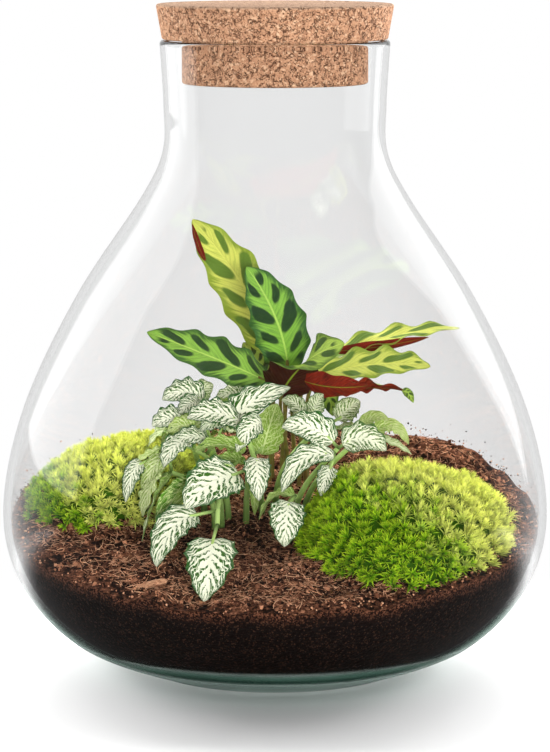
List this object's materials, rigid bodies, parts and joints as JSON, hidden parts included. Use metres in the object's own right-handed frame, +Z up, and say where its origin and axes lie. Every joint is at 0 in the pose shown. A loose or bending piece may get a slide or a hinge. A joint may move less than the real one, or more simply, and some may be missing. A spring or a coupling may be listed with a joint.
{
  "type": "glass plant terrarium",
  "caption": "Wide-bellied clear glass jar closed by a cork lid, planted with a sloping soil bed, moss cushions and two low leafy plants.",
  "frame": {"origin": "on the floor under the jar's foot, on the jar's upright axis", "axes": "+Z up along the jar's axis; -Y is the front, where the soil is lowest and the small plant is; +X is to the right"},
  "size_m": [0.2466, 0.2466, 0.3],
  "materials": {
    "glass": "polished",
    "cork": "matte",
    "soil": "matte",
    "moss": "matte",
    "bark": "matte",
    "rattle_leaf": "satin",
    "nerve_leaf": "satin"
  },
  "bodies": {
    "root": {"glass_jar": "glass", "cork_lid": "cork", "soil_bed": "soil", "moss_cushion_left": "moss", "moss_cushion_right": "moss", "moss_tuft_back": "moss", "bark_chip": "bark", "rattle_leaf_upper_back": "rattle_leaf", "rattle_leaf_upper_front": "rattle_leaf", "rattle_leaf_left": "rattle_leaf", "rattle_leaf_left_small": "rattle_leaf", "rattle_leaf_right_upper": "rattle_leaf", "rattle_leaf_right_lower": "rattle_leaf", "rattle_leaf_right_folded": "rattle_leaf", "rattle_leaf_front_folded": "rattle_leaf", "rattle_leaf_low_right": "rattle_leaf", "rattle_leaf_back": "rattle_leaf", "nerve_spray_front": "nerve_leaf", "nerve_spray_middle": "nerve_leaf", "nerve_spray_low_right": "nerve_leaf", "nerve_spray_right": "nerve_leaf", "nerve_spray_top": "nerve_leaf", "nerve_spray_top_left": "nerve_leaf", "nerve_spray_upper_left": "nerve_leaf", "nerve_spray_left": "nerve_leaf", "nerve_spray_low_left": "nerve_leaf", "nerve_spray_behind": "nerve_leaf", "nerve_spray_back_right": "nerve_leaf", "nerve_spray_back": "nerve_leaf"}
  },
  "joints": []
}
